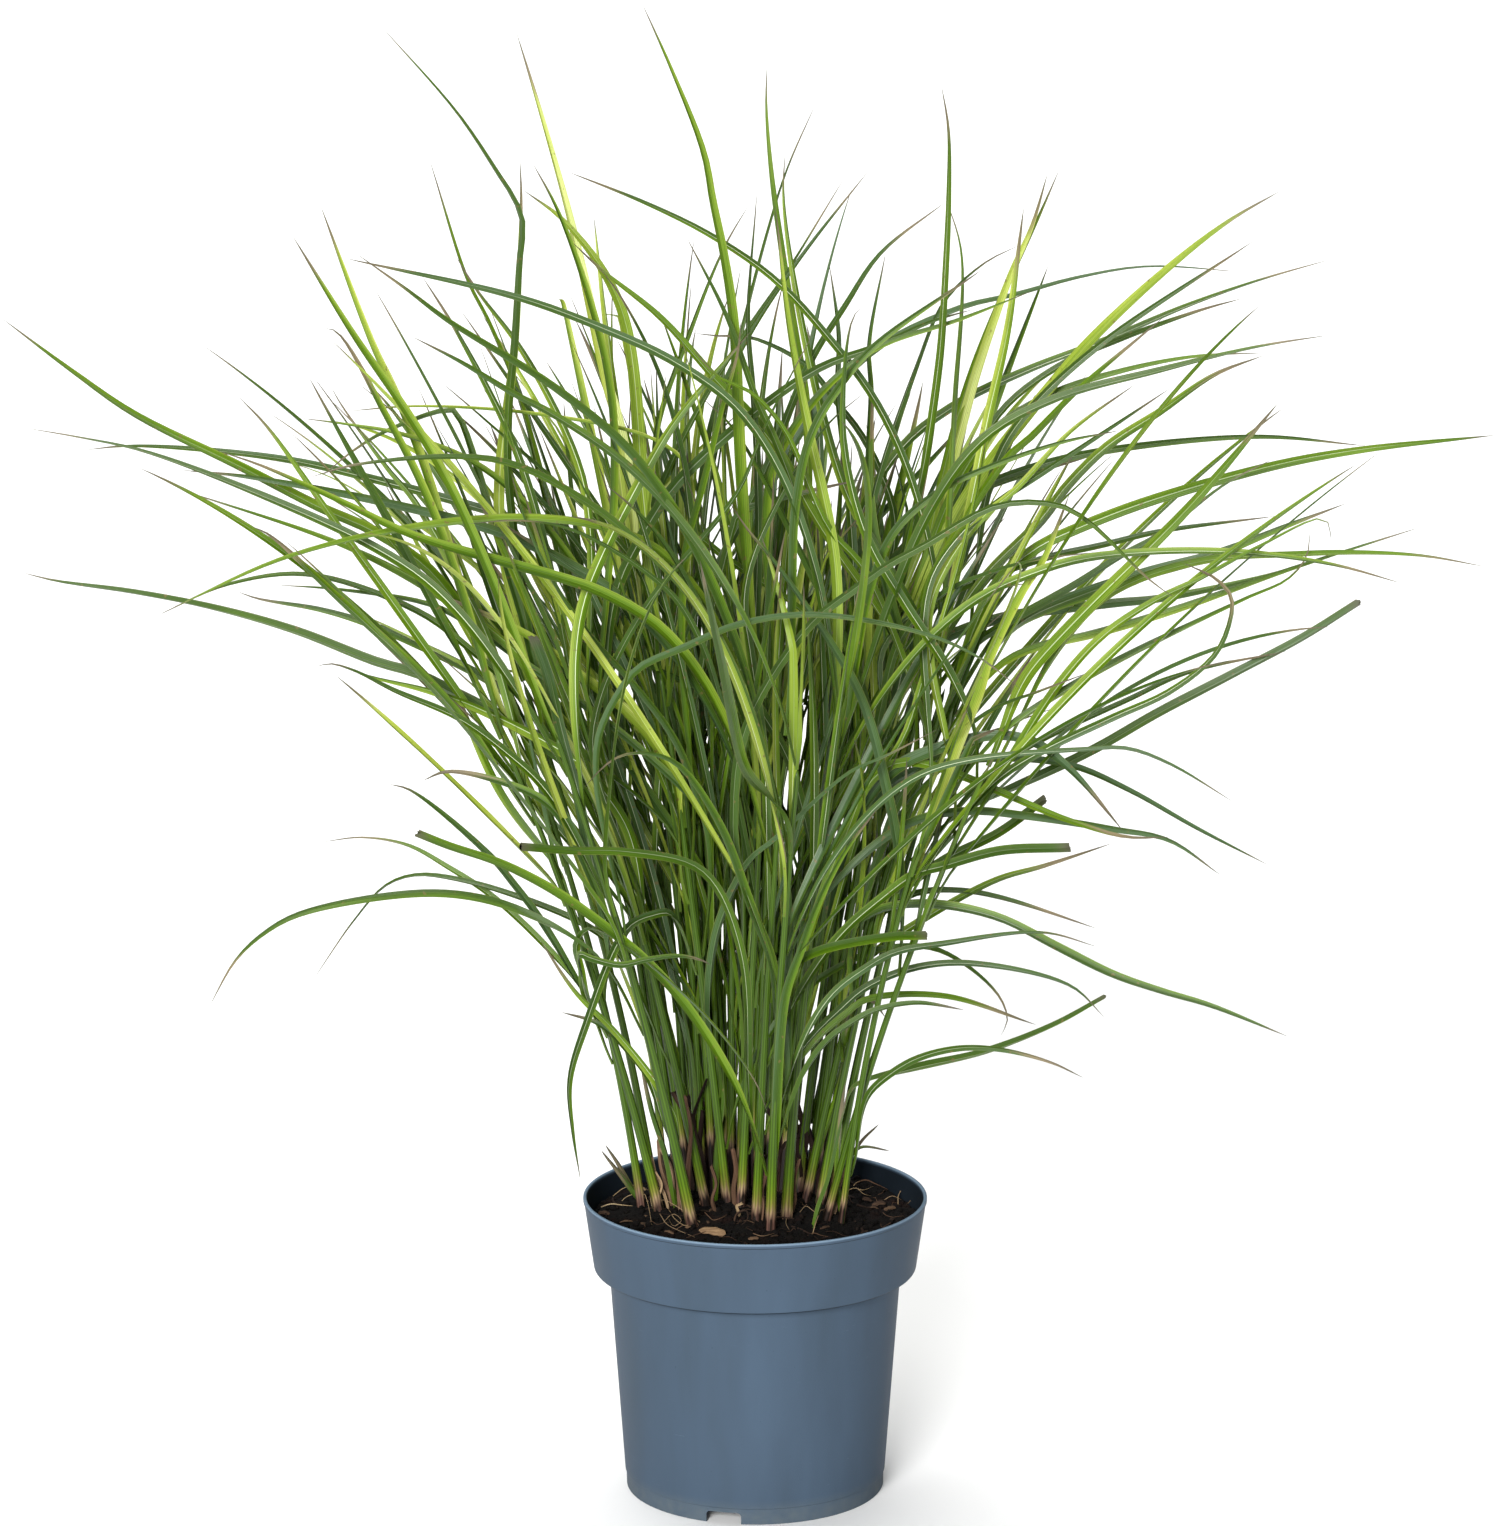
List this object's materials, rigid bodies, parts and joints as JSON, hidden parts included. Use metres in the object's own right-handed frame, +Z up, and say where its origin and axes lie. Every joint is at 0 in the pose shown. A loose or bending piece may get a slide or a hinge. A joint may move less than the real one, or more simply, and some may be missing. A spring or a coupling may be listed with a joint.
{
  "type": "potted ornamental grass clump",
  "caption": "Upright clump of fine arching ornamental grass growing in a round tapered nursery pot with a broad collar, soil and drainage notches.",
  "frame": {"origin": "middle of the pot's foot at the level it stands on", "axes": "+Z up along the pot's axis, front of the plant towards -Y, +X to its right"},
  "size_m": [0.8046, 0.72, 0.8224],
  "materials": {
    "pot": "satin injection-moulded polypropylene, blue-grey, lightly scuffed",
    "soil": "moist dark potting compost of peat and bark, rough and crumbly",
    "stem": "rolled green leaf sheaths, tan and pinkish at the foot, finely ribbed, satin",
    "leaf": "living grass blade, green with a pale midrib, finely veined, satin"
  },
  "bodies": {
    "root": {"leaf_back_reach": "leaf", "leaf_big_dark_low": "leaf", "leaf_centre_fork": "leaf", "leaf_centre_spire": "leaf", "leaf_cut_right": "leaf", "leaf_droop_left": "leaf", "leaf_droop_left_short": "leaf", "leaf_far_left_high": "leaf", "leaf_far_left_low": "leaf", "leaf_far_left_mid": "leaf", "leaf_far_right_high": "leaf", "leaf_far_right_low": "leaf", "leaf_folded_gold": "leaf", "leaf_front_droop": "leaf", "leaf_front_reach": "leaf", "leaf_hooked": "leaf", "leaf_left_arch": "leaf", "leaf_left_steep": "leaf", "leaf_left_sweep": "leaf", "leaf_low_left_arch": "leaf", "leaf_low_right_long": "leaf", "leaf_low_right_short": "leaf", "leaf_lowest_right": "leaf", "leaf_mid_left_arch": "leaf", "leaf_red_curl": "leaf", "leaf_right_arch": "leaf", "leaf_right_dark_wide": "leaf", "leaf_right_low_long": "leaf", "leaf_right_pale": "leaf", "leaf_right_spire": "leaf", "leaf_tall_gold": "leaf", "leaf_tallest": "leaf", "leaf_top_left": "leaf", "leaf_upper_left_high": "leaf", "leaf_upper_left_low": "leaf", "leaf_upper_left_mid": "leaf", "leaf_upper_right_long": "leaf", "leaf_upper_right_mid": "leaf", "pot": "pot", "soil": "soil", "stem_01": "stem", "stem_02": "stem", "stem_03": "stem", "stem_04": "stem", "stem_05": "stem", "stem_06": "stem", "stem_07": "stem", "stem_08": "stem", "stem_09": "stem", "stem_10": "stem", "stem_11": "stem", "stem_12": "stem", "stem_13": "stem", "stem_14": "stem", "stem_15": "stem", "stem_16": "stem", "stem_17": "stem", "stem_18": "stem", "stem_19": "stem", "stem_20": "stem"}
  },
  "joints": []
}
